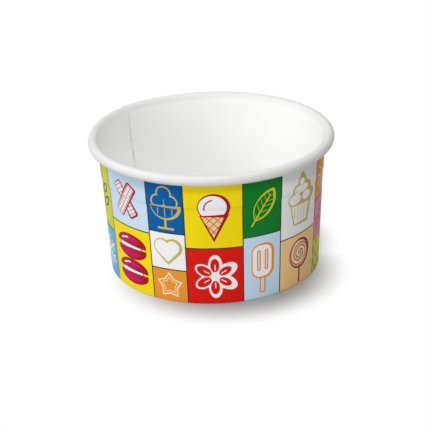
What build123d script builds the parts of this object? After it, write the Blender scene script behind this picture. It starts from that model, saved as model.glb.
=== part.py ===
from build123d import *
import os
from math import asin, atan2, cos, degrees, hypot, radians, sin, tan

# Paper ice cream cup, millimetres. It stands upright on XY, +Z up, with its axis on Z.
# One board blank makes the wall: it is lapped into a cone, rolled out at the top and
# folded in at the foot, where the fold grips the turned-down skirt of the bottom disc.

# Cup
cup_height = 49.2
rim_diameter = 87.0
base_diameter = 75.0

# Board
wall_board = 0.35
disc_board = 0.30
seal_gap = 0.03

# Rolled rim: the size of the roll, its first and last angles, anticlockwise from outwards,
# and the flats between them
curl_diameter = 3.6
curl_first_angle = 150.0
curl_last_angle = -120.0
curl_flats = 9

# Stacking shoulder: a small outward set of the wall under the rim
shoulder_drop = 13.8
shoulder_height = 1.6
shoulder_step = 0.25

# Bottom disc: set in above the surface that the cup stands on, its skirt turned down
base_recess = 6.2
disc_bevel = 0.35
skirt_lift = 0.25

# Hem: the wall's foot, folded in and up behind the skirt
hem_clearance = 0.45
fold_bevel_share = 0.2

# Side seam: where the inner cut edge stands, anticlockwise from +X, the overlap,
# and what sealing leaves of each board's thickness
seam_angle = 137.5
lap_width = 7.5
lap_press_share = 0.9

# The white inner face of the wall: a cone that runs tangent into the rolled rim
half_board = wall_board / 2
base_radius = base_diameter / 2
rim_radius = rim_diameter / 2
curl_radius = curl_diameter / 2
curl_centre = (rim_radius - curl_radius, cup_height - curl_radius)
foot_radius = base_radius - wall_board
root_reach = curl_centre[0] - foot_radius - shoulder_step
root_distance = hypot(root_reach, curl_centre[1])
lean = atan2(root_reach, curl_centre[1]) - asin(curl_radius / root_distance)
shoulder_foot_level = cup_height - shoulder_drop
shoulder_head_level = shoulder_foot_level + shoulder_height


def inside_point(level, inset=0):
    """A point of the section: at a level, set in from the white face of the lower wall."""
    return (foot_radius + level * tan(lean) - inset / cos(lean), level)


def wall_points(foot_level, inset=0):
    """The section's points up the wall, from a level over the shoulder to the rolled rim's root."""
    root_radius = curl_radius + inset
    return [
        inside_point(foot_level, inset),
        inside_point(shoulder_foot_level, inset),
        inside_point(shoulder_head_level, inset - shoulder_step * cos(lean)),
        (curl_centre[0] - root_radius * cos(lean), curl_centre[1] + root_radius * sin(lean)),
    ]


def curl_points(inset=0):
    """The section's points round the rolled rim, from over its root to its cut edge."""
    roll_radius = curl_radius + inset
    points = []
    for corner in range(curl_flats + 1):
        turn = radians(curl_first_angle + (curl_last_angle - curl_first_angle) * corner / curl_flats)
        points.append((curl_centre[0] + roll_radius * cos(turn), curl_centre[1] + roll_radius * sin(turn)))
    return points


# The pocket between wall and hem, and the boards in it
pocket = disc_board + 2 * seal_gap
hem_middle = pocket + half_board
fold_bevel = fold_bevel_share * pocket
floor_level = base_recess + disc_board
hem_level = base_recess - disc_bevel - hem_clearance
skirt_level = wall_board + skirt_lift

# The lap: two pressed boards, which rise a little from both faces of the wall
middle_radius = (base_radius + rim_radius) / 2
lap_angle = degrees(lap_width / middle_radius)
lap_rise = (2 * lap_press_share * wall_board - wall_board) / 2
hem_lap_face = pocket + wall_board + 2 * lap_rise
lap_start = radians(seam_angle - lap_angle)
lap_plane = Plane(
    (0, 0, 0),
    x_dir=(cos(lap_start), sin(lap_start), 0),
    z_dir=(sin(lap_start), -cos(lap_start), 0),
)

with BuildPart() as side_wall:
    # The blank in section: hem, fold, wall, shoulder and rolled rim, drawn on its white face
    with BuildSketch(Plane.XZ):
        with BuildLine():
            Polyline(
                inside_point(hem_level, pocket),
                inside_point(wall_board + fold_bevel, pocket),
                inside_point(wall_board, pocket - fold_bevel),
                inside_point(wall_board, fold_bevel),
                *wall_points(wall_board + fold_bevel),
                *curl_points(),
            )
            offset(amount=wall_board, side=Side.RIGHT, kind=Kind.INTERSECTION)
        make_face()
    revolve(axis=Axis.Z)

    # The lap's inner board: on the white face, from the floor up and over the rim
    with BuildSketch(lap_plane):
        with BuildLine():
            Polyline(
                *wall_points(floor_level, -half_board),
                *curl_points(-half_board),
                *reversed(curl_points(lap_rise)),
                *reversed(wall_points(floor_level, lap_rise)),
                close=True,
            )
        make_face()
    revolve(axis=Axis.Z, revolution_arc=lap_angle)

    # The lap's outer board: on the printed face, from the fold to the rim
    with BuildSketch(lap_plane):
        with BuildLine():
            Polyline(
                *wall_points(wall_board, -half_board),
                *reversed(wall_points(wall_board, -wall_board - lap_rise)),
                close=True,
            )
        make_face()
    revolve(axis=Axis.Z, revolution_arc=lap_angle)

    # The lap folded in with the hem: both rises lie on the face towards the recess
    with BuildSketch(lap_plane):
        with BuildLine():
            Polyline(
                inside_point(hem_level, hem_middle),
                inside_point(wall_board, hem_middle),
                inside_point(wall_board, hem_lap_face),
                inside_point(hem_level, hem_lap_face),
                close=True,
            )
        make_face()
    revolve(axis=Axis.Z, revolution_arc=lap_angle)

with BuildPart() as bottom_disc:
    with BuildSketch(Plane.XZ):
        with BuildLine():
            Polyline(
                (0, floor_level),
                inside_point(floor_level, seal_gap + disc_bevel),
                inside_point(floor_level - disc_bevel, seal_gap),
                inside_point(skirt_level, seal_gap),
            )
            offset(amount=disc_board, side=Side.RIGHT, kind=Kind.INTERSECTION)
        make_face()
    revolve(axis=Axis.Z)

os.makedirs("parts", exist_ok=True)
side_wall.part.label = "side_wall"
export_step(side_wall.part, "parts/side_wall.step")
bottom_disc.part.label = "bottom_disc"
export_step(bottom_disc.part, "parts/bottom_disc.step")
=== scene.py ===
"""Paper ice cream cup: a lapped board wall with a colour print, white rim, inside and floor."""

import logging
import math
from dataclasses import dataclass
from enum import Enum
from typing import Any, Callable, Dict, List, Optional, Sequence, Tuple, Union

import bpy
import numpy as np
from mathutils import Matrix, Vector


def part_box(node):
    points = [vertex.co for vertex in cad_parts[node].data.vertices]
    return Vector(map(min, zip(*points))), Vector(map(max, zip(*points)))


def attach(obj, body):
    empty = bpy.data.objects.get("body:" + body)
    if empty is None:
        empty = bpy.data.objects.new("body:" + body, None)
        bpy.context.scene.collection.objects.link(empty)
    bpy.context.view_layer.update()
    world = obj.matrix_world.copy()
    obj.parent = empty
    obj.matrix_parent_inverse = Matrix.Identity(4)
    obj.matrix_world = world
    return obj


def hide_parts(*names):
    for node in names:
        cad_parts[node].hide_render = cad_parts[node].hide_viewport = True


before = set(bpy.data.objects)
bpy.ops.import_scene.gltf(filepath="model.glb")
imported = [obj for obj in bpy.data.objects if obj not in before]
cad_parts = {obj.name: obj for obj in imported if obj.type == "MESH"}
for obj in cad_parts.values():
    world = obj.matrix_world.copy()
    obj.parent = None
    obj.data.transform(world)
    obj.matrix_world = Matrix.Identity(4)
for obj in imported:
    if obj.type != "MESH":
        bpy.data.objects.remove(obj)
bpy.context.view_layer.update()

LOG = logging.getLogger("paper_cup")
SKIRT_DRAW_IN = 0.00031
FULL_TURN = 2.0 * math.pi
MILLIMETRE = 0.001
BLACK_LIGHT = (0.0, 0.0, 0.0, 1.0)
WHITE_LIGHT = (1.0, 1.0, 1.0, 1.0)

Socket = bpy.types.NodeSocket
Steps = Tuple[int, int, int]
Light = Tuple[float, float, float, float]
Number = Union[float, "Value"]
Feed = Union[float, Sequence[float], "Value", Socket]


# Shader maths

class Value:
    """A number that changes over a surface: a float socket, with Math nodes for what is done to it."""

    def __init__(self, graph: "Graph", socket: Socket) -> None:
        """Wrap one output socket of a graph."""
        self.graph = graph
        self.socket = socket

    def math(self, operation: str, *others: Number, clamp: bool = False) -> "Value":
        """Add one Math node that takes this value first.

        Args:
            operation: The Math node's operation.
            others: Its other inputs, numbers or Values.
            clamp: Whether the result is held between 0 and 1.

        Returns:
            The node's result.
        """
        return self.graph.math(operation, self, *others, clamp=clamp)

    def __add__(self, other: Number) -> "Value":
        """Sum."""
        return self.math("ADD", other)

    __radd__ = __add__

    def __sub__(self, other: Number) -> "Value":
        """Difference."""
        return self.math("SUBTRACT", other)

    def __rsub__(self, other: Number) -> "Value":
        """Difference with this value taken away."""
        return self.graph.math("SUBTRACT", other, self)

    def __mul__(self, other: Number) -> "Value":
        """Product."""
        return self.math("MULTIPLY", other)

    __rmul__ = __mul__

    def __truediv__(self, other: Number) -> "Value":
        """Quotient."""
        return self.math("DIVIDE", other)

    def __abs__(self) -> "Value":
        """Size without sign."""
        return self.math("ABSOLUTE")

    def least(self, other: Number) -> "Value":
        """The smaller of two, which joins two shapes."""
        return self.math("MINIMUM", other)

    def most(self, other: Number) -> "Value":
        """The larger of two, which keeps what two shapes share."""
        return self.math("MAXIMUM", other)

    def zigzag(self, step: float) -> "Value":
        """A wave that rises and falls between 0 and a step."""
        return self.math("PINGPONG", step)

    def scaled(self, factor: float, offset: float, clamp: bool = False) -> "Value":
        """This value times a factor plus an offset, in one node."""
        return self.math("MULTIPLY_ADD", factor, offset, clamp=clamp)


class Graph:
    """The node tree of a material or of the world, built from expressions."""

    def __init__(self, owner: bpy.types.ID) -> None:
        """Start an empty tree in a new material or world."""
        owner.use_nodes = True
        self.owner = owner
        self.tree = owner.node_tree
        self.tree.nodes.clear()

    def feed(self, target: Socket, value: Feed) -> None:
        """Link or set one input socket.

        Args:
            target: The input socket.
            value: A Value or a socket to link, or a number or tuple to set.
        """
        if isinstance(value, Value):
            value = value.socket
        if isinstance(value, Socket):
            self.tree.links.new(value, target)
        else:
            target.default_value = value

    def node(
        self,
        kind: str,
        settings: Optional[Dict[str, Any]] = None,
        inputs: Optional[Dict[Union[str, int], Feed]] = None,
    ) -> bpy.types.Node:
        """Add any node.

        Args:
            kind: The node's type.
            settings: Its properties, set before its sockets.
            inputs: Values or links by socket name or number.

        Returns:
            The new node.
        """
        made = self.tree.nodes.new(kind)
        for name, setting in (settings or {}).items():
            setattr(made, name, setting)
        for key, value in (inputs or {}).items():
            self.feed(made.inputs[key], value)
        return made

    def math(self, operation: str, *values: Number, clamp: bool = False) -> Value:
        """Add a Math node over numbers and Values, and return its result."""
        made = self.node(
            "ShaderNodeMath",
            {"operation": operation, "use_clamp": clamp},
            dict(enumerate(values)),
        )
        return Value(self, made.outputs[0])

    def blend(self, under: Feed, over: Feed, share: Number) -> Socket:
        """Lay one colour over another.

        Args:
            under: The colour where share is 0.
            over: The colour where share is 1.
            share: How much of the upper colour shows.

        Returns:
            The mixed colour's socket.
        """
        made = self.node("ShaderNodeMix", {"data_type": "RGBA"}, {0: share, 6: under, 7: over})
        return made.outputs[2]

    def position(self) -> Socket:
        """The place on the piece, in metres, from Object coordinates."""
        return self.node("ShaderNodeTexCoord").outputs["Object"]

    def split(self, vector: Socket) -> Tuple[Value, Value, Value]:
        """The three parts of a vector."""
        made = self.node("ShaderNodeSeparateXYZ", None, {0: vector})
        return tuple(Value(self, output) for output in made.outputs)

    def join(self, x: Number, y: Number, z: Number) -> Socket:
        """A vector from three numbers."""
        return self.node("ShaderNodeCombineXYZ", None, {0: x, 1: y, 2: z}).outputs[0]

    def noise(self, place: Socket, scale: float, detail: float = 2.0) -> Value:
        """Smooth random values about 0.5 over a place."""
        made = self.node(
            "ShaderNodeTexNoise",
            None,
            {"Vector": place, "Scale": scale, "Detail": detail},
        )
        return Value(self, made.outputs[0])

    def relief(self, height: Number, depth: float) -> Socket:
        """A normal that is tilted by a height, whose full range is a depth in metres."""
        made = self.node("ShaderNodeBump", None, {"Strength": 1.0, "Distance": depth, "Height": height})
        return made.outputs[0]

    def finish(self, inputs: Dict[Union[str, int], Feed]) -> bpy.types.Material:
        """End the tree in one principled shader and return the material."""
        shader = self.node("ShaderNodeBsdfPrincipled", None, inputs)
        self.node("ShaderNodeOutputMaterial", None, {"Surface": shader.outputs[0]})
        return self.owner


def linear(colour: Steps) -> Light:
    """A colour of 0 to 255 steps as the linear numbers that a shader takes."""
    steps = np.array(colour) / 255.0
    light = np.where(steps <= 0.04045, steps / 12.92, ((steps + 0.055) / 1.055) ** 2.4)
    return (float(light[0]), float(light[1]), float(light[2]), 1.0)


# The print

class Ink(Enum):
    """The print's colours, as steps of red, green and blue."""

    WHITE = (250, 250, 250)
    CREAM = (250, 236, 205)
    YELLOW = (252, 226, 12)
    LIME = (214, 216, 36)
    GREEN = (10, 125, 42)
    SKY = (100, 179, 227)
    BLUE = (0, 96, 168)
    PALE_BLUE = (206, 230, 250)
    RED = (224, 28, 18)
    DARK_RED = (170, 18, 34)
    MAGENTA = (212, 4, 110)
    PINK = (230, 138, 162)
    PEACH = (252, 213, 148)
    ORANGE = (240, 153, 50)
    GOLD = (206, 186, 96)
    LEAF_LINE = (64, 92, 30)
    TILE_LINE = (42, 46, 50)

    @property
    def light(self) -> Light:
        """The colour in linear numbers."""
        return linear(self.value)


class Spot:
    """A place on the print: millimetres across and up from a chosen point."""

    def __init__(self, x: Value, y: Value) -> None:
        """Hold the two distances."""
        self.x = x
        self.y = y

    def at(self, x: float, y: float) -> "Spot":
        """The same place, measured from a point further across and up."""
        return Spot(self.x - x, self.y - y)

    def resized(self, size: float) -> "Spot":
        """The same place, measured in larger or smaller steps."""
        return Spot(self.x / size, self.y / size)

    def turned(self, angle: float) -> "Spot":
        """The same place, measured along axes turned anticlockwise by an angle in degrees."""
        cosine = math.cos(math.radians(angle))
        sine = math.sin(math.radians(angle))
        return Spot(self.x * cosine + self.y * sine, self.y * cosine - self.x * sine)

    def mirrored(self) -> "Spot":
        """The same place folded over the upright axis, so that a shape shows on both sides."""
        return Spot(abs(self.x), self.y)

    def fanned(self, count: int) -> "Spot":
        """The same place folded into one sector, so that a shape along x shows count times round."""
        sector = FULL_TURN / count
        turn = self.y.math("ARCTAN2", self.x)
        inside = turn.math("PINGPONG", sector / 2.0)
        reach = self.reach()
        return Spot(reach * inside.math("COSINE"), reach * inside.math("SINE"))

    def reach(self) -> Value:
        """The distance from the chosen point."""
        return (self.x * self.x + self.y * self.y).math("SQRT")

    def disc(self, radius: float) -> Value:
        """How far outside a disc the place is."""
        return self.reach() - radius

    def oval(self, half_width: float, half_height: float) -> Value:
        """How far outside an oval the place is, near its edge."""
        stretched = Spot(self.x / half_width, self.y / half_height)
        return (stretched.reach() - 1.0) * min(half_width, half_height)

    def slab(self, half_width: float, half_height: float, rounding: float = 0.0) -> Value:
        """How far outside a rectangle with rounded corners the place is."""
        across = abs(self.x) - (half_width - rounding)
        up = abs(self.y) - (half_height - rounding)
        if rounding == 0.0:
            return across.most(up)
        return Spot(across.most(0.0), up.most(0.0)).reach() + across.most(up).least(0.0) - rounding

    def rod(self, length: float, radius: float) -> Value:
        """How far outside a round-ended bar, from the point up along y, the place is."""
        past = self.y - self.y.least(length).most(0.0)
        return Spot(self.x, past).disc(radius)

    def leaf(self, half_length: float, half_width: float) -> Value:
        """How far outside a pointed leaf along y the place is: what two large discs share."""
        radius = (half_length * half_length + half_width * half_width) / (2.0 * half_width)
        return Spot(abs(self.x) + (radius - half_width), self.y).disc(radius)

    def slanted(self, step: float) -> "Spot":
        """How far the place is from the nearest rising and falling line of a slanted grid."""
        return Spot((self.x + self.y).zigzag(step), (self.x - self.y).zigzag(step))


class Canvas:
    """The print as it builds up: a running colour over the unrolled wall."""

    EDGE = 0.10

    def __init__(self, graph: Graph, place: Spot, ground: Ink) -> None:
        """Start with one ground colour everywhere.

        Args:
            graph: The material that the print is part of.
            place: Millimetres along the print and up the wall.
            ground: The colour of the bare board.
        """
        self.graph = graph
        self.place = place
        self.colour: Feed = ground.light
        self.within: Optional[Value] = None

    def cover(self, outside: Value, grow: float = 0.0) -> Value:
        """The share of ink where a shape lies, from the distance outside it."""
        return outside.scaled(-1.0 / self.EDGE, 0.5 + grow / self.EDGE, clamp=True)

    def lay(self, share: Value, ink: Ink) -> None:
        """Lay an ink where its share says, inside the open tile."""
        if self.within is not None:
            share = share * self.within
        self.colour = self.graph.blend(self.colour, ink.light, share)

    def fill(self, outside: Value, ink: Ink) -> None:
        """Fill a shape with an ink."""
        self.lay(self.cover(outside), ink)

    def line(self, outside: Value, ink: Ink, width: float = 0.75) -> None:
        """Draw a line of a width along a shape's edge."""
        self.lay(self.cover(abs(outside), width / 2.0), ink)

    def trace(self, outside: Value, reach: float, ink: Ink) -> None:
        """Ink a shape and what lies within a reach of it."""
        self.lay(self.cover(outside, reach), ink)

    def brush(self, outside: Value, ink: Ink, slant: Value, thin: float = 0.3, thick: float = 1.1) -> None:
        """Draw a brushed line, which thickens as the slant goes from minus 5 to 5 millimetres."""
        half_width = slant.scaled((thick - thin) / 20.0, (thick + thin) / 4.0)
        self.lay(self.cover(abs(outside) - half_width), ink)


class Motif(Enum):
    """The simple pictures on the tiles."""

    CONE = "cone"
    LOLLY = "lolly"
    SWIRL = "swirl"
    SUNDAE = "sundae"
    STAR = "star"
    SNOWFLAKE = "snowflake"
    SUN = "sun"
    FLOWER = "flower"
    SPRIG = "sprig"
    LEAF = "leaf"
    MACARONS = "macarons"
    CUPCAKE = "cupcake"
    CANDY = "candy"
    HEART = "heart"
    WAFER = "wafer"
    BEADS = "beads"


class Artist(Canvas):
    """Draws each motif, about 16 millimetres tall, with one main ink and one second ink."""

    def draw(self, motif: Motif, spot: Spot, ink: Ink, second: Ink) -> None:
        """Draw a motif about a spot.

        Args:
            motif: Which picture.
            spot: The place, measured from the motif's middle.
            ink: The ink of its lines.
            second: The ink of its fillings.
        """
        picture: Callable[[Spot, Ink, Ink], None] = getattr(self, motif.value)
        picture(spot, ink, second)

    def cone(self, spot: Spot, ink: Ink, second: Ink) -> None:
        """A scoop in a latticed wafer cone."""
        side = spot.mirrored()
        wafer = (side.x * 0.897 - (side.y + 8.4) * 0.443).most(spot.y - 0.2)
        grid = spot.slanted(1.35)
        lattice = grid.x.least(grid.y)
        self.fill(wafer, second)
        self.trace(lattice.most(wafer), 0.16, ink)
        self.brush(wafer, ink, spot.x)
        scoop = spot.at(0.0, 3.3).oval(4.9, 4.6).most(0.2 - spot.y)
        self.fill(scoop, Ink.WHITE)
        self.brush(scoop, ink, spot.x)
        shine = abs(spot.at(0.3, 3.0).oval(3.2, 3.0)).most(spot.x + 0.4).most(2.6 - spot.y)
        self.trace(shine, 0.22, ink)

    def lolly(self, spot: Spot, ink: Ink, second: Ink) -> None:
        """A grooved ice lolly on its stick."""
        stick = spot.at(0.0, -6.0).slab(0.85, 2.8, 0.7)
        self.brush(stick, ink, spot.x, 0.3, 0.8)
        block = spot.at(0.0, 2.2).slab(3.7, 5.8, 3.0)
        self.fill(block, second)
        self.brush(block, ink, spot.x)
        groove = spot.mirrored().at(1.35, 2.4).slab(0.42, 3.4, 0.42)
        self.line(groove, ink, 0.5)

    def swirl(self, spot: Spot, ink: Ink, second: Ink) -> None:
        """A flat round sweet with a spiral, on a stick."""
        stick = spot.at(0.0, -8.6).rod(6.0, 0.42)
        self.fill(stick, ink)
        head = spot.at(0.0, 2.4)
        disc = head.disc(5.3)
        turn = head.y.math("ARCTAN2", head.x) / FULL_TURN
        phase = (head.reach() / 2.7 + turn).zigzag(0.5)
        self.fill(((phase - 0.27) * 2.7).most(disc), second)
        self.brush(disc, ink, spot.x, 0.45, 1.2)
        self.trace(abs((phase - 0.27) * 2.7).most(disc), 0.2, ink)

    def sundae(self, spot: Spot, ink: Ink, second: Ink) -> None:
        """Three scoops in a footed glass."""
        low = spot.mirrored().at(2.35, 2.3).disc(2.6)
        top = spot.at(0.0, 5.6).disc(2.7)
        scoops = low.least(top).most(0.6 - spot.y)
        self.fill(scoops, second)
        self.line(scoops, ink, 0.6)
        bowl = spot.at(0.0, 0.5).oval(5.6, 5.0).most(spot.y - 0.5)
        self.brush(bowl, ink, spot.x)
        ribs = spot.x.zigzag(1.4).most(bowl + 0.9)
        self.trace(ribs, 0.14, ink)
        foot = spot.at(0.0, -6.4).slab(0.45, 2.0).least(spot.at(0.0, -8.3).slab(3.3, 0.45, 0.4))
        self.fill(foot, ink)

    def star(self, spot: Spot, ink: Ink, second: Ink) -> None:
        """A plain five-pointed star, lined inside."""
        fold = spot.turned(90.0).fanned(5)
        edge = (fold.x - 5.6) * 0.588 + fold.y * 0.809
        self.fill(edge, second)
        self.line(edge, ink, 0.6)
        self.line(edge + 1.1, ink, 0.3)

    def snowflake(self, spot: Spot, ink: Ink, second: Ink) -> None:
        """A six-armed ice crystal with paired twigs."""
        fold = spot.turned(90.0).fanned(6)
        arm = Spot(fold.y, fold.x).rod(7.2, 0.36)
        outer = Spot(fold.x - 4.2, fold.y).turned(-35.0)
        inner = Spot(fold.x - 2.2, fold.y).turned(-35.0)
        twigs = outer.rod(2.3, 0.3).least(inner.rod(1.5, 0.28))
        self.fill(arm.least(twigs), ink)
        self.fill(spot.disc(0.9), second)

    def sun(self, spot: Spot, ink: Ink, second: Ink) -> None:
        """A round sun with twelve rays."""
        ray = spot.fanned(12)
        self.fill(Spot(ray.y, ray.x - 4.2).rod(2.2, 0.34), ink)
        self.fill(spot.disc(3.1), second)
        self.brush(spot.disc(3.1), ink, spot.x)

    def flower(self, spot: Spot, ink: Ink, second: Ink) -> None:
        """Six open petals round a filled middle."""
        petal = spot.turned(90.0).fanned(6)
        edge = petal.at(3.7, 0.0).oval(2.9, 1.75)
        self.brush(edge, ink, spot.x, 0.4, 1.1)
        vein = Spot(petal.y, petal.x - 2.2).rod(1.6, 0.16)
        self.fill(vein, ink)
        self.fill(spot.disc(1.5), second)

    def sprig(self, spot: Spot, ink: Ink, second: Ink) -> None:
        """A stem with paired leaves and one at its tip."""
        stem = spot.at(0.0, -8.6).rod(13.4, 0.26)
        side = spot.mirrored()
        pair = side.at(2.9, -3.4).turned(-52.0).leaf(3.1, 1.25)
        upper = side.at(2.5, 1.3).turned(-46.0).leaf(2.8, 1.15)
        tip = spot.at(0.0, 6.6).leaf(2.9, 1.2)
        leaves = pair.least(upper).least(tip)
        self.fill(leaves, second)
        self.brush(leaves, ink, spot.x, 0.3, 0.85)
        self.fill(stem, ink)

    def leaf(self, spot: Spot, ink: Ink, second: Ink) -> None:
        """One broad leaf with a midrib and side veins."""
        lean = spot.turned(-32.0)
        edge = lean.at(0.0, 1.0).leaf(7.4, 3.7)
        self.brush(edge, ink, spot.x)
        self.fill(lean.at(0.0, -9.2).rod(15.0, 0.3), ink)
        veins = (lean.y - abs(lean.x) * 0.9).zigzag(1.3).most(edge + 0.9)
        self.trace(veins, 0.15, second)

    def macarons(self, spot: Spot, ink: Ink, second: Ink) -> None:
        """Two stacked round biscuits, each of two frilled shells with cream between."""
        for level in (-4.4, 4.4):
            biscuit = spot.at(0.0, level)
            rise = abs(biscuit.y)
            cream = biscuit.slab(5.2, 0.9, 0.8)
            self.fill(cream, Ink.WHITE)
            self.line(cream, ink, 0.4)
            shell = Spot(biscuit.x, rise - 1.0).oval(6.1, 3.0).most(0.9 - rise)
            self.fill(shell, second)
            self.brush(shell, ink, spot.x, 0.45, 1.1)
            frill = abs(rise - 1.8).most(shell + 0.4)
            self.trace(frill, 0.16, ink)
            shine = abs(biscuit.at(0.0, 1.0).oval(4.4, 1.9)).most(biscuit.x + 0.9).most(2.1 - biscuit.y)
            self.trace(shine, 0.22, Ink.WHITE)

    def cupcake(self, spot: Spot, ink: Ink, second: Ink) -> None:
        """A small cake in a pleated paper case, with icing in three tiers and a bead on top."""
        side = spot.mirrored()
        case = ((side.x - 3.4) * 0.975 - (spot.y + 7.8) * 0.223).most(abs(spot.y + 4.4) - 3.4)
        pleats = spot.x.zigzag(0.8).most(case + 0.8)
        self.trace(pleats, 0.14, ink)
        self.brush(case, ink, spot.x, 0.4, 1.2)
        lower = side.at(2.8, 0.9).oval(3.1, 2.1)
        middle = side.at(1.3, 3.9).oval(2.7, 1.9)
        icing = lower.least(middle).least(spot.at(0.0, 6.5).disc(1.7)).most(-1.0 - spot.y)
        self.fill(icing, Ink.WHITE)
        self.brush(icing, ink, spot.x, 0.4, 1.4)
        self.fill(spot.at(0.0, 8.7).disc(1.0), second)

    def candy(self, spot: Spot, ink: Ink, second: Ink) -> None:
        """A wrapped sweet with twisted ends."""
        lean = spot.turned(24.0)
        side = lean.mirrored()
        twist = (abs(side.y) - (side.x - 2.2) * 0.62).most(side.x - 6.6)
        self.line(twist, ink, 0.5)
        self.fill(lean.disc(3.5), second)
        stripes = (lean.x + lean.y * 0.5).zigzag(1.1).most(lean.disc(3.5))
        self.trace(stripes, 0.3, ink)
        self.brush(lean.disc(3.5), ink, spot.x, 0.4, 0.9)

    def heart(self, spot: Spot, ink: Ink, second: Ink) -> None:
        """A heart in a double outline."""
        fold = spot.at(0.0, -0.6).mirrored().turned(45.0)
        square = Spot(fold.x, fold.y).slab(3.1, 3.1)
        lobe = Spot(fold.x - 3.1, fold.y).disc(3.1)
        edge = square.least(lobe)
        self.brush(edge, ink, spot.x, 0.4, 1.2)
        self.fill(edge + 1.6, second)

    def wafer(self, spot: Spot, ink: Ink, second: Ink) -> None:
        """Two crossed wafer fingers with a grid of ridges."""
        for angle in (34.0, -34.0):
            finger = spot.turned(angle)
            edge = finger.slab(2.3, 7.6, 0.6)
            self.fill(edge, second)
            grid = finger.x.zigzag(0.8).least(finger.y.zigzag(0.8)).most(edge)
            self.trace(grid, 0.12, ink)
            self.brush(edge, ink, spot.x, 0.35, 0.9)

    def beads(self, spot: Spot, ink: Ink, second: Ink) -> None:
        """An even field of small rings with dots between them."""
        grid = spot.slanted(2.6)
        self.line(grid.disc(1.15), ink, 0.45)
        self.fill(grid.disc(0.42), second)


@dataclass(frozen=True)
class Tile:
    """One field of the print: its top level in millimetres, its ground and its picture."""

    top: float
    ground: Ink
    motif: Motif
    ink: Ink
    second: Ink
    size: float = 1.0


@dataclass(frozen=True)
class Column:
    """One column of the print: its width in millimetres and its tiles from the foot up."""

    width: float
    tiles: Tuple[Tile, ...]


TOP = 60.0
COLUMNS = (
    Column(17.0, (
        Tile(19.5, Ink.SKY, Motif.SNOWFLAKE, Ink.WHITE, Ink.WHITE),
        Tile(TOP, Ink.LIME, Motif.SPRIG, Ink.LEAF_LINE, Ink.LIME, 1.05),
    )),
    Column(20.5, (
        Tile(25.0, Ink.YELLOW, Motif.MACARONS, Ink.DARK_RED, Ink.MAGENTA, 1.1),
        Tile(TOP, Ink.PALE_BLUE, Motif.WAFER, Ink.DARK_RED, Ink.WHITE, 0.9),
    )),
    Column(13.5, (
        Tile(12.5, Ink.ORANGE, Motif.STAR, Ink.CREAM, Ink.ORANGE, 0.85),
        Tile(26.5, Ink.WHITE, Motif.HEART, Ink.GOLD, Ink.WHITE, 0.95),
        Tile(TOP, Ink.BLUE, Motif.SUNDAE, Ink.GOLD, Ink.BLUE, 0.95),
    )),
    Column(20.0, (
        Tile(21.5, Ink.RED, Motif.FLOWER, Ink.WHITE, Ink.WHITE, 1.15),
        Tile(TOP, Ink.YELLOW, Motif.CONE, Ink.DARK_RED, Ink.PEACH, 1.05),
    )),
    Column(14.5, (
        Tile(24.5, Ink.PALE_BLUE, Motif.LOLLY, Ink.ORANGE, Ink.WHITE, 1.1),
        Tile(TOP, Ink.GREEN, Motif.LEAF, Ink.LIME, Ink.LIME, 0.85),
    )),
    Column(20.0, (
        Tile(20.0, Ink.PEACH, Motif.SWIRL, Ink.DARK_RED, Ink.CREAM),
        Tile(TOP, Ink.WHITE, Motif.CUPCAKE, Ink.GOLD, Ink.GOLD, 1.1),
    )),
    Column(17.0, (
        Tile(13.5, Ink.LIME, Motif.BEADS, Ink.LEAF_LINE, Ink.LEAF_LINE),
        Tile(28.5, Ink.PINK, Motif.CANDY, Ink.MAGENTA, Ink.PINK),
        Tile(TOP, Ink.ORANGE, Motif.SUN, Ink.CREAM, Ink.ORANGE),
    )),
)


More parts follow.
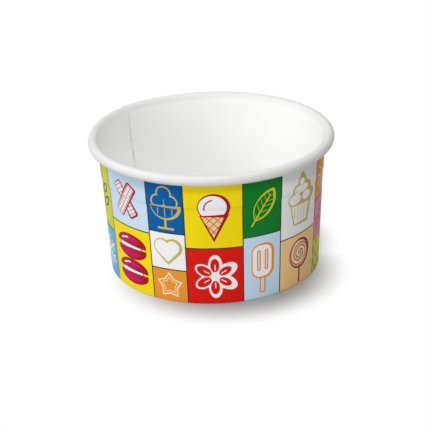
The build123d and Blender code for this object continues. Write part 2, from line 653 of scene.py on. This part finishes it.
@dataclass(frozen=True)
class PrintedBoard:
    """Coated board with the colour print: satin, with fine fibre under the ink.

    front_share is where along the print the board's first edge lies, slant_unit the metres in
    one step of the map, and visible_top the millimetres of print that show under the rim.
    """

    name: str = "print_on_board"
    repeats: int = 2
    front_share: float = 0.704
    slant_unit: float = 0.1
    visible_top: float = 45.6
    tile_line: float = 0.4
    roughness: float = 0.38
    specular: float = 0.1
    fibre_scale: float = 2600.0
    cloud_scale: float = 90.0
    fibre_depth: float = 0.000012

    def build(self) -> bpy.types.Material:
        """Paint the tiles, their pictures and their lines, and return the material.

        The print repeats round the wall. Along it runs the share of a turn, and up it the
        slant height. Each tile is a field of its ground colour, then its motif, then its line.
        """
        graph = Graph(bpy.data.materials.new(self.name))
        length = sum(column.width for column in COLUMNS)
        along, up, _ = graph.split(graph.node("ShaderNodeUVMap", {"uv_map": "print"}).outputs[0])
        turn = (along * self.repeats + self.front_share).math("FRACT")
        place = Spot(turn * length, up * (self.slant_unit / MILLIMETRE))
        canvas = Artist(graph, place, Ink.WHITE)
        left = 0.0
        for column in COLUMNS:
            low = 0.0
            for tile in column.tiles:
                self.paint(canvas, tile, left, low, column.width)
                low = tile.top
            left += column.width
        position = graph.position()
        fibre = graph.noise(position, self.fibre_scale, 3.0)
        cloud = graph.noise(position, self.cloud_scale)
        tone = graph.blend(canvas.colour, BLACK_LIGHT, cloud.scaled(0.05, -0.005, clamp=True))
        return graph.finish({
            "Base Color": tone,
            "Roughness": fibre.scaled(0.16, self.roughness) + cloud * 0.06,
            "Specular IOR Level": self.specular,
            "Normal": graph.relief(fibre * 0.7 + cloud * 2.0, self.fibre_depth),
        })

    def paint(self, canvas: Artist, tile: Tile, left: float, low: float, width: float) -> None:
        """Paint one tile.

        Args:
            canvas: The print so far.
            tile: The tile's ground and picture.
            left: Where it starts along the print.
            low: Where it starts up the wall.
            width: How wide it is.
        """
        middle = (low + tile.top) / 2.0
        seen_middle = (low + min(tile.top, self.visible_top)) / 2.0
        centre = left + width / 2.0
        field = canvas.place.at(centre, middle).slab(width / 2.0, (tile.top - low) / 2.0)
        canvas.within = None
        within = canvas.cover(field)
        canvas.lay(within, tile.ground)
        canvas.within = within
        spot = canvas.place.at(centre, seen_middle).resized(tile.size)
        canvas.draw(tile.motif, spot, tile.ink, tile.second)
        canvas.within = None
        canvas.line(field, Ink.TILE_LINE, self.tile_line)


@dataclass(frozen=True)
class WhiteBoard:
    """White coated board: satin, with a faint fibre, and fine pleats where the rim is rolled."""

    name: str = "white_coated_board"
    colour: Steps = (250, 250, 249)
    shade: Steps = (246, 246, 245)
    # Painted shade for the rolled rim: a grey that keeps its lit top darker than the lamps make it.
    painted_roll_shade: Steps = (228, 228, 227)
    roughness: float = 0.33
    specular: float = 0.25
    fibre_scale: float = 2200.0
    cloud_scale: float = 70.0
    fibre_depth: float = 0.000014
    rolled: bool = True
    roll_start: float = 0.0474
    roll_full: float = 0.0492
    pleat_depth: float = 0.00009
    pleats: Tuple[float, float] = (560.0, 120.0)

    def build(self) -> bpy.types.Material:
        """Mix two near whites by slow clouds, grey the roll with painted shade, and tilt them by fibre and
        pleats.

        Returns:
            The material.
        """
        graph = Graph(bpy.data.materials.new(self.name))
        position = graph.position()
        fibre = graph.noise(position, self.fibre_scale, 3.0)
        cloud = graph.noise(position, self.cloud_scale)
        white = graph.blend(linear(self.colour), linear(self.shade), cloud.scaled(0.9, -0.1, clamp=True))
        height = fibre * 0.8 + cloud * 1.5
        if self.rolled:
            turn, up, _ = graph.split(graph.node("ShaderNodeUVMap", {"uv_map": "print"}).outputs[0])
            along = up * PrintedBoard.slant_unit
            rise = self.roll_full - self.roll_start
            share = (along - self.roll_start).scaled(1.0 / rise, 0.0, clamp=True)
            # Painted shade: the upper part of the roll is greyed so that it renders darker than the lamps
            # light it.
            white = graph.blend(white, linear(self.painted_roll_shade), share)
            streaks = graph.noise(graph.join(turn * self.pleats[0], along * self.pleats[1], 0.0), 1.0, 3.0)
            height = height + (streaks - 0.5) * share * (self.pleat_depth / self.fibre_depth)
        return graph.finish({
            "Base Color": white,
            "Roughness": fibre.scaled(0.14, self.roughness) + cloud * 0.08,
            "Specular IOR Level": self.specular,
            "Normal": graph.relief(height, self.fibre_depth),
        })


@dataclass(frozen=True)
class CutEdge:
    """The bare cut through the board: rough, uncoated fibre. Its grey is partly the bare core's own tone and
    partly painted shade for the dark line along the seam.
    """

    name: str = "cut_board"
    # Partly painted shade: this grey is darker than the bare core alone, to show the dark line along the
    # seam.
    colour: Steps = (222, 222, 220)
    shade: Steps = (204, 204, 202)
    roughness: float = 0.75
    fibre_scale: float = 3800.0
    fibre_depth: float = 0.00004

    def build(self) -> bpy.types.Material:
        """Mix two paper tones by fine noise and return the material."""
        graph = Graph(bpy.data.materials.new(self.name))
        fibre = graph.noise(graph.position(), self.fibre_scale, 4.0)
        return graph.finish({
            "Base Color": graph.blend(linear(self.colour), linear(self.shade), fibre),
            "Roughness": fibre.scaled(0.2, self.roughness),
            "Normal": graph.relief(fibre, self.fibre_depth),
        })


# Meshes

def smooth_step(steps: np.ndarray) -> np.ndarray:
    """A soft rise from 0 to 1: three squares less two cubes, held outside 0 to 1."""
    held = np.clip(steps, 0.0, 1.0)
    return held * held * (3.0 - 2.0 * held)


def run(start: Sequence[float], end: Sequence[float], count: int) -> np.ndarray:
    """Points evenly along a straight line, its last point left out."""
    share = np.linspace(0.0, 1.0, count, endpoint=False)[:, None]
    return np.asarray(start) * (1.0 - share) + np.asarray(end) * share


def arc(centre: Sequence[float], radius: float, first: float, last: float, count: int) -> np.ndarray:
    """Points evenly round an arc between two angles in degrees, its last point left out."""
    angle = np.radians(np.linspace(first, last, count, endpoint=False))
    return np.asarray(centre) + radius * np.stack([np.cos(angle), np.sin(angle)], axis=1)


def make_mesh(
    name: str, points: np.ndarray, faces: List[List[int]], sides: np.ndarray, sharp: float
) -> bpy.types.Object:
    """Put points and faces into a new smooth-shaded object at the origin.

    Args:
        name: The piece's name.
        points: Vertices, one row each, in metres.
        faces: Vertex numbers, one list for each face.
        sides: The material slot of each face.
        sharp: The angle in degrees past which an edge is drawn sharp.

    Returns:
        The new object, linked to the scene.
    """
    mesh = bpy.data.meshes.new(name)
    mesh.from_pydata(points.tolist(), [], faces)
    mesh.polygons.foreach_set("use_smooth", np.ones(len(mesh.polygons), dtype=bool))
    mesh.polygons.foreach_set("material_index", sides.astype(np.int32))
    mesh.set_sharp_from_angle(angle=math.radians(sharp))
    mesh.update()
    piece = bpy.data.objects.new(name, mesh)
    bpy.context.scene.collection.objects.link(piece)
    return piece


def normals(line: np.ndarray) -> np.ndarray:
    """The unit normals of a section's line, to the left of its way."""
    step = np.gradient(line, axis=0)
    step /= np.linalg.norm(step, axis=1)[:, None]
    return np.stack([-step[:, 1], step[:, 0]], axis=1)


class Face(Enum):
    """The sides of the board, by material slot."""

    WHITE = 0
    PRINT = 1
    CUT = 2


@dataclass
class BoardWall:
    """The wall: one board blank, lapped round, folded in at its foot and rolled out at its top."""

    rim_radius: float
    height: float = 0.0492
    base_radius: float = 0.0375
    board: float = 0.00035
    pocket: float = 0.00036
    curl_radius: float = 0.0018
    curl_end: float = -126.0
    shoulder_drop: float = 0.0138
    shoulder_height: float = 0.0016
    shoulder_step: float = 0.00025
    shoulder_ease: float = 0.0075
    hem_level: float = 0.0054
    fold_radius: float = 0.00025
    floor_level: float = 0.0065
    seam_angle: float = 137.5
    lap_angle: float = 10.68
    lap_ramp: float = 7.0
    lap_press: float = 0.1
    lap_tuck: float = 0.3
    lap_foot: float = 0.0015
    bulge: float = 0.001
    bulge_spread: float = 42.0
    bulge_level: float = 0.012
    register_slip: float = 0.0004
    sharp: float = 40.0
    turns: int = 540
    hem_points: int = 4
    fold_points: Tuple[int, int, int] = (5, 2, 6)
    wall_points: Tuple[int, int, int] = (17, 9, 9)
    roll_points: int = 34

    def shoulder(self, levels: np.ndarray, height: float) -> np.ndarray:
        """How far the wall is set out at each level: a soft rise over a height at the shoulder."""
        middle = self.height - self.shoulder_drop + self.shoulder_height / 2.0
        return self.shoulder_step * smooth_step((levels - middle) / height + 0.5)

    def section(self) -> np.ndarray:
        """The middle line of the board in section, as radius and level.

        From the hem's cut edge it runs down, round the fold, up the cone, over the shoulder
        and round the roll. The cone's lean makes it tangent to the roll.

        Returns:
            Points, one row each.
        """
        half = self.board / 2.0
        roll = self.curl_radius - half
        centre = (self.rim_radius - self.curl_radius, self.height - self.curl_radius)
        foot = self.base_radius - half
        reach = centre[0] - foot - self.shoulder_step
        lean = math.atan2(reach, centre[1]) - math.asin(roll / math.hypot(reach, centre[1]))
        lean_degrees = math.degrees(lean)
        apart = (self.board + self.pocket) / math.cos(lean)
        corner = self.fold_radius
        corner_level = half + corner
        set_in = corner / math.cos(lean)

        def cone(level: float) -> float:
            """The radius of the middle line at a level."""
            return foot + level * math.tan(lean)

        wall_corner = (cone(corner_level) - set_in, corner_level)
        hem_corner = (cone(corner_level) - apart + set_in, corner_level)
        shoulder_foot = self.height - self.shoulder_drop
        shoulder_head = shoulder_foot + self.shoulder_height
        root_level = centre[1] + roll * math.sin(lean)
        start_level = corner_level - corner * math.sin(lean)
        ends = (start_level, shoulder_foot, shoulder_head, root_level)
        levels = np.concatenate([
            np.linspace(low, high, count, endpoint=False)
            for low, high, count in zip(ends, ends[1:], self.wall_points)
        ])
        wall = np.stack([cone(levels) + self.shoulder(levels, self.shoulder_height), levels], axis=1)
        hem_start = (cone(self.hem_level) - apart, self.hem_level)
        hem_end = (cone(start_level) - apart, start_level + 2.0 * corner * math.sin(lean))
        return np.concatenate([
            run(hem_start, hem_end, self.hem_points),
            arc(hem_corner, corner, 180.0 - lean_degrees, 270.0, self.fold_points[0]),
            run((hem_corner[0], half), (wall_corner[0], half), self.fold_points[1]),
            arc(wall_corner, corner, -90.0, -lean_degrees, self.fold_points[2]),
            wall,
            arc(centre, roll, 180.0 - lean_degrees, self.curl_end, self.roll_points),
        ])

    def build(self) -> bpy.types.Object:
        """Roll the section round the axis and close it at its cut edges.

        The board starts at the outer lap's cut edge and turns once and a lap further. The middle
        line is shifted along its normal, outwards in the outer lap and inwards in the inner lap,
        less so at the foot, and each face lies half a board from it. The stiff seam stands out
        a little towards the rim, in a soft hump round the turn. Four-sided faces join neighbours
        along the section and along the turn, and strips close the ends of section and laps.

        Returns:
            The wall's object.
        """
        line = self.section()
        normal = normals(line)
        slant = np.concatenate([[0.0], np.cumsum(np.linalg.norm(np.diff(line, axis=0), axis=1))])
        foot_index = int(np.argmin(line[:, 1]))
        slant -= slant[foot_index]

        total = 360.0 + self.lap_angle
        count = int(round(self.turns * total / 360.0)) + 1
        turn = np.linspace(0.0, total, count)
        outer = 1.0 - smooth_step((turn - self.lap_angle) / self.lap_ramp)
        inner = smooth_step((turn - 360.0 + self.lap_ramp) / self.lap_ramp)
        levels = line[:, 1]
        above = smooth_step((levels - self.floor_level) / self.board + 1.0)
        above[:foot_index] = 0.0
        raised = self.lap_tuck + (1.0 - self.lap_tuck) * above
        standing = smooth_step((levels - levels[foot_index]) / self.lap_foot)
        pressed = self.board * (1.0 - self.lap_press * np.maximum(outer, inner))
        half_pressed = self.board * (1.0 - self.lap_press) / 2.0
        shift = half_pressed * (inner[:, None] * raised[None, :] - outer[:, None] * standing[None, :])

        eased = self.shoulder(levels, self.shoulder_ease) - self.shoulder(levels, self.shoulder_height)
        eased[:foot_index] = 0.0
        rise = smooth_step((levels - self.bulge_level) / (self.height - self.bulge_level))
        from_seam = (turn - self.lap_angle + 180.0) % 360.0 - 180.0
        stiff = self.bulge * (1.0 - smooth_step(np.abs(from_seam) / self.bulge_spread))
        bulge = stiff[:, None] * rise[None, :]
        angle = np.radians(self.seam_angle - self.lap_angle + turn)[:, None]
        loops = []
        for side, set_out in ((0.5, eased), (-0.5, np.zeros_like(eased))):
            offset = shift + side * pressed[:, None]
            radius = line[None, :, 0] + set_out[None, :] + bulge + normal[None, :, 0] * offset
            level = line[None, :, 1] + normal[None, :, 1] * offset
            loops.append(np.stack([radius * np.cos(angle), radius * np.sin(angle), level], axis=2))
        white, printed = loops
        loop = np.concatenate([white, printed[:, ::-1]], axis=1)
        around = loop.shape[1]
        index = np.arange(count * around).reshape(count, around)

        here = index[:-1]
        after = index[1:]
        bands = np.stack([
            here,
            np.roll(here, -1, axis=1),
            np.roll(after, -1, axis=1),
            after,
        ], axis=2)
        sides = np.full(around, Face.WHITE.value)
        sides[len(line):] = Face.PRINT.value
        sides[[len(line) - 1, around - 1]] = Face.CUT.value
        band_sides = np.broadcast_to(sides, bands.shape[:2])

        near = np.arange(len(line) - 1)
        far = around - 1 - near
        first, last = index[0], index[-1]
        first_cap = np.stack([first[near], first[far], first[far - 1], first[near + 1]], axis=1)
        last_cap = np.stack([last[near], last[near + 1], last[far - 1], last[far]], axis=1)
        faces = np.concatenate([bands.reshape(-1, 4), first_cap, last_cap])
        caps = np.full(len(first_cap) + len(last_cap), Face.CUT.value)
        face_sides = np.concatenate([band_sides.reshape(-1), caps])
        piece = make_mesh("board_wall", loop.reshape(-1, 3), faces.tolist(), face_sides, self.sharp)

        section_slant = np.concatenate([slant, slant[::-1]])
        slip = self.register_slip * (turn / 360.0 - 0.5)
        along = np.broadcast_to((turn / 360.0)[:, None], (count, around))
        up = (section_slant[None, :] + slip[:, None]) / PrintedBoard.slant_unit
        coordinates = np.stack([along, up], axis=2).reshape(-1, 2)
        corners = np.empty(len(piece.data.loops), dtype=np.int32)
        piece.data.loops.foreach_get("vertex_index", corners)
        layer = piece.data.uv_layers.new(name="print")
        layer.data.foreach_set("uv", coordinates[corners].ravel().astype(np.float32))
        return piece

    def dress(self, piece: bpy.types.Object) -> None:
        """Give the wall its white side, its print and its cut edges, in the order of Face."""
        for finish in (WhiteBoard(), PrintedBoard(), CutEdge()):
            piece.data.materials.append(finish.build())


@dataclass
class BoardBottom:
    """The bottom: one white board disc whose edge is turned down as a skirt."""

    rim_radius: float
    skirt_radius: float
    skirt_level: float
    floor_level: float = 0.0065
    board: float = 0.0003
    bend: float = 0.0005
    bend_slack: float = 0.00001
    sharp: float = 50.0
    turns: int = 288
    floor_points: int = 24
    bend_points: int = 8
    skirt_points: int = 6

    def section(self) -> np.ndarray:
        """The middle line of the board in section: out across the floor, round the bend and down.

        Returns:
            Points of radius and level, one row each.
        """
        half = self.board / 2.0
        level = self.floor_level - half
        edge = self.rim_radius - half
        tip = (self.skirt_radius - half, self.skirt_level)
        lean = math.degrees(math.atan2(edge - tip[0], level - tip[1]))
        centre = (edge - self.bend, level - self.bend)
        skirt_top = centre[1] - self.bend * math.sin(math.radians(lean))
        return np.concatenate([
            run((0.0, level), (centre[0], level), self.floor_points),
            arc(centre, self.bend, 90.0, -lean, self.bend_points),
            run((edge - self.bend_slack, skirt_top), tip, self.skirt_points),
            [tip],
        ])

    def build(self) -> bpy.types.Object:
        """Turn the section about the axis, half a board to each side, and close it at its cut edge.

        Each ring is the radius times the cosine and sine of the turn. The first points of both
        faces lie on the axis, so triangles join them to their first rings.

        Returns:
            The bottom's object.
        """
        line = self.section()
        normal = normals(line)
        normal[0] = (0.0, 1.0)
        upper = line + normal * self.board / 2.0
        lower = line - normal * self.board / 2.0
        loop = np.concatenate([upper[1:], lower[:0:-1]])
        angle = np.linspace(0.0, FULL_TURN, self.turns, endpoint=False)[:, None]
        rings = np.stack([
            loop[None, :, 0] * np.cos(angle),
            loop[None, :, 0] * np.sin(angle),
            np.broadcast_to(loop[None, :, 1], (self.turns, len(loop))),
        ], axis=2)
        points = np.concatenate([rings.reshape(-1, 3), [(0.0, 0.0, upper[0, 1]), (0.0, 0.0, lower[0, 1])]])
        index = np.arange(self.turns * len(loop)).reshape(self.turns, len(loop))
        after = np.roll(index, -1, axis=0)
        bands = np.stack([index[:, :-1], after[:, :-1], after[:, 1:], index[:, 1:]], axis=2)
        top = np.full(self.turns, len(points) - 2)
        hub = np.stack([top, after[:, 0], index[:, 0]], axis=1)
        under = np.stack([index[:, -1], after[:, -1], top + 1], axis=1)
        faces = bands.reshape(-1, 4).tolist() + hub.tolist() + under.tolist()
        band_sides = np.zeros(bands.shape[:2])
        band_sides[:, len(line) - 2] = 1
        face_sides = np.concatenate([band_sides.reshape(-1), np.zeros(2 * self.turns)])
        return make_mesh("board_bottom", points, faces, face_sides, self.sharp)

    def dress(self, piece: bpy.types.Object) -> None:
        """Give the bottom its white faces and its cut edge."""
        for finish in (WhiteBoard(name="white_disc", rolled=False), CutEdge(name="cut_disc")):
            piece.data.materials.append(finish.build())


# Stage

@dataclass(frozen=True)
class Lamp:
    """One square soft lamp: its bearing from the camera's side to the left, its height and its power."""

    name: str
    azimuth: float
    elevation: float
    size: float
    watts: float

    def hang(self, target: Vector, distance: float) -> None:
        """Hang the lamp so that it points at a target.

        Args:
            target: The point that it lights.
            distance: How far from the target it hangs.
        """
        bearing = math.radians(self.azimuth)
        height = math.radians(self.elevation)
        away = Vector((
            -math.sin(bearing) * math.cos(height),
            -math.cos(bearing) * math.cos(height),
            math.sin(height),
        ))
        data = bpy.data.lights.new(self.name, "AREA")
        data.shape = "SQUARE"
        data.size = self.size
        data.energy = self.watts
        lamp = bpy.data.objects.new(self.name, data)
        facing = (-away).to_track_quat("-Z", "Y").to_matrix().to_4x4()
        lamp.matrix_world = Matrix.Translation(target + away * distance) @ facing
        bpy.context.scene.collection.objects.link(lamp)


@dataclass
class Studio:
    """A pale floor, soft lamps over, before and left of the cup, and the camera of the photograph."""

    target: Tuple[float, float, float] = (0.000417, 0.0, 0.017015)
    distance: float = 0.6156
    elevation: float = 23.464
    roll: float = -1.964
    lens: float = 143.07
    sensor: float = 36.0
    sky: float = 0.27
    floor_half: float = 3.0
    floor_colour: float = 0.48
    shadow_front: Tuple[float, float] = (0.0047, -0.0113)
    shadow_back: Tuple[float, float] = (0.003, 0.012)
    shadow_reach: Tuple[float, float] = (0.027, 0.0446)
    lamp_distance: float = 1.2
    lamps: Tuple[Lamp, ...] = (
        Lamp("front_lamp", 0.0, 50.0, 0.2, 4.5),
        Lamp("low_lamp", 30.0, 12.0, 0.5, 4.0),
        Lamp("left_lamp", 90.0, 45.0, 0.5, 4.9),
        Lamp("back_lamp", 210.0, 65.0, 0.35, 3.2),
    )

    def place_camera(self) -> None:
        """Set the camera at its distance and elevation in front of the cup, with its small roll."""
        tilt = math.radians(self.elevation)
        roll = math.radians(self.roll)
        back = Vector((0.0, -math.cos(tilt), math.sin(tilt)))
        level = Vector((1.0, 0.0, 0.0))
        upright = Vector((0.0, math.sin(tilt), math.cos(tilt)))
        right = level * math.cos(roll) + upright * math.sin(roll)
        up = upright * math.cos(roll) - level * math.sin(roll)
        data = bpy.data.cameras.new("camera")
        data.lens = self.lens
        data.sensor_width = self.sensor
        data.clip_start = 0.01
        camera = bpy.data.objects.new("camera", data)
        turn = Matrix((right, up, back)).transposed().to_4x4()
        camera.matrix_world = Matrix.Translation(Vector(self.target) + back * self.distance) @ turn
        bpy.context.scene.collection.objects.link(camera)
        bpy.context.scene.camera = camera

    def lay_floor(self) -> None:
        """Lay a pale floor that takes the cup's shadow, and that the camera sees fade to white round it.
        Inside the fade, which is placed and sized after the shadow, the floor's own grey shows even where it
        is lit, as painted shadow beside the real one.
        """
        half = self.floor_half
        corners = [(-half, -half, 0.0), (half, -half, 0.0), (half, half, 0.0), (-half, half, 0.0)]
        mesh = bpy.data.meshes.new("floor")
        mesh.from_pydata(corners, [], [(0, 1, 2, 3)])
        floor = bpy.data.objects.new("floor", mesh)
        bpy.context.scene.collection.objects.link(floor)
        graph = Graph(bpy.data.materials.new("pale_floor"))
        path = graph.node("ShaderNodeLightPath")
        seen = Value(graph, path.outputs["Is Camera Ray"])
        for ray in ("Is Glossy Ray", "Is Transmission Ray"):
            seen = seen.most(Value(graph, path.outputs[ray]))
        pale = (self.floor_colour, self.floor_colour, self.floor_colour, 1.0)
        lit = graph.node("ShaderNodeBsdfDiffuse", None, {"Color": pale})
        white = graph.node("ShaderNodeEmission", None, {"Color": WHITE_LIGHT, "Strength": 1.0})
        x, y, _ = graph.split(graph.position())
        # Painted shadow: within these circles round the shadow's place the camera sees the floor's grey
        # whether lit or not, and beyond them it sees white.
        reach = Spot(x, y).at(*self.shadow_front).reach().least(Spot(x, y).at(*self.shadow_back).reach())
        fade = graph.node(
            "ShaderNodeMapRange",
            {"interpolation_type": "SMOOTHSTEP"},
            {0: reach, 1: self.shadow_reach[0], 2: self.shadow_reach[1]},
        )
        share = Value(graph, fade.outputs[0]) * seen
        shader = graph.node("ShaderNodeMixShader", None, {0: share, 1: lit.outputs[0], 2: white.outputs[0]})
        graph.node("ShaderNodeOutputMaterial", None, {"Surface": shader.outputs[0]})
        mesh.materials.append(graph.owner)

    def light(self) -> None:
        """Hang the lamps, and make the world white to the camera and dim to all else."""
        for lamp in self.lamps:
            lamp.hang(Vector(self.target), self.lamp_distance)
        graph = Graph(bpy.data.worlds.new("studio"))
        path = graph.node("ShaderNodeLightPath")
        dim, bright = (
            graph.node("ShaderNodeBackground", None, {"Color": WHITE_LIGHT, "Strength": strength}).outputs[0]
            for strength in (self.sky, 1.0)
        )
        mix = graph.node("ShaderNodeMixShader", None, {0: path.outputs["Is Camera Ray"], 1: dim, 2: bright})
        graph.node("ShaderNodeOutputWorld", None, {0: mix.outputs[0]})
        bpy.context.scene.world = graph.owner

    def build(self) -> None:
        """Set the stage."""
        self.place_camera()
        self.lay_floor()
        self.light()
        bpy.context.scene.view_settings.view_transform = "Standard"


def main() -> None:
    """Build and dress the cup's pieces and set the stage."""
    logging.basicConfig(level=logging.INFO, format="%(message)s")
    wall_low, wall_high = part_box("side_wall")
    disc_low, disc_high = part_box("bottom_disc")
    wall = BoardWall(rim_radius=(wall_high.x - wall_low.x) / 2.0)
    disc_radius = (disc_high.x - disc_low.x) / 2.0
    bottom = BoardBottom(
        rim_radius=disc_radius,
        skirt_radius=disc_radius - SKIRT_DRAW_IN,
        skirt_level=disc_low.z,
        floor_level=disc_high.z,
    )
    for part, node, slot in ((wall, "side_wall", "printed_board"), (bottom, "bottom_disc", "white_board")):
        piece = part.build()
        part.dress(piece)
        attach(piece, "root")
        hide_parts(node)
        LOG.info("%s: %d faces", piece.name, len(piece.data.polygons))
    Studio().build()


if __name__ == "__main__":
    main()
